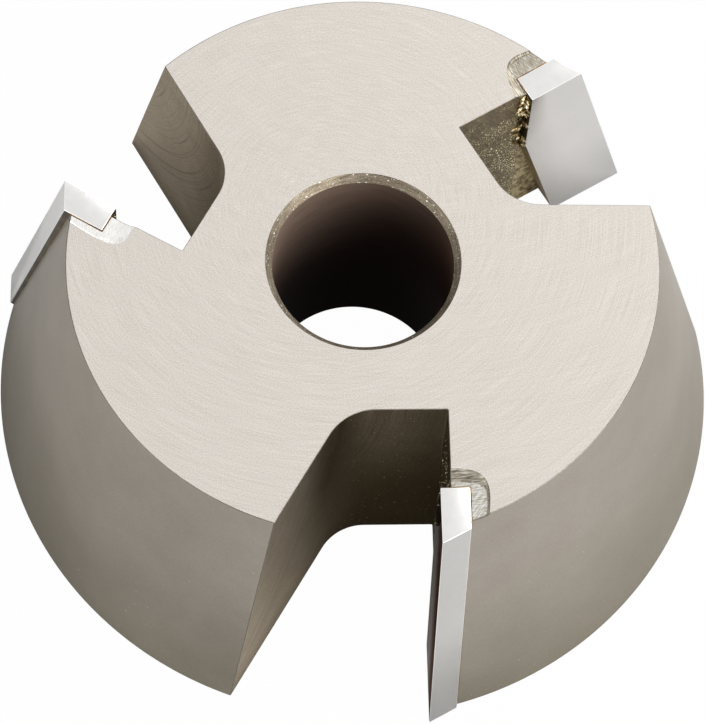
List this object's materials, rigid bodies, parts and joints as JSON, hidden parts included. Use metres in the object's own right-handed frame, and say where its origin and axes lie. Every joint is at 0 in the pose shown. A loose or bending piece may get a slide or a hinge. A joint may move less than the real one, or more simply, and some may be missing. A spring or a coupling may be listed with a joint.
{
  "type": "pipe beveling cutter wheel",
  "caption": "Conical steel cutter wheel with milled gullets and brazed carbide cutting tips, for beveling the end of a plastic pipe; plain arbor bore.",
  "frame": {"origin": "where the bore's axis meets the flat base", "axes": "+Z along the bore's axis from the wide base to the narrow top face; -Y outward along the first gullet, with that tooth's rake face parallel to the YZ plane"},
  "size_m": [0.0654, 0.066, 0.0262],
  "materials": {
    "ground_steel": "warm grey tool steel, ground and lapped on the top face, satin turned cone, milled gullets",
    "carbide": "tungsten carbide, finely ground, bright and satin",
    "braze": "golden to coppery braze, lumpy in the upper bead"
  },
  "bodies": {
    "root": {"cutter_body": "ground_steel", "carbide_tip_1": "carbide", "carbide_tip_2": "carbide", "carbide_tip_3": "carbide", "braze_joint_1": "braze", "braze_joint_2": "braze", "braze_joint_3": "braze"}
  },
  "joints": []
}
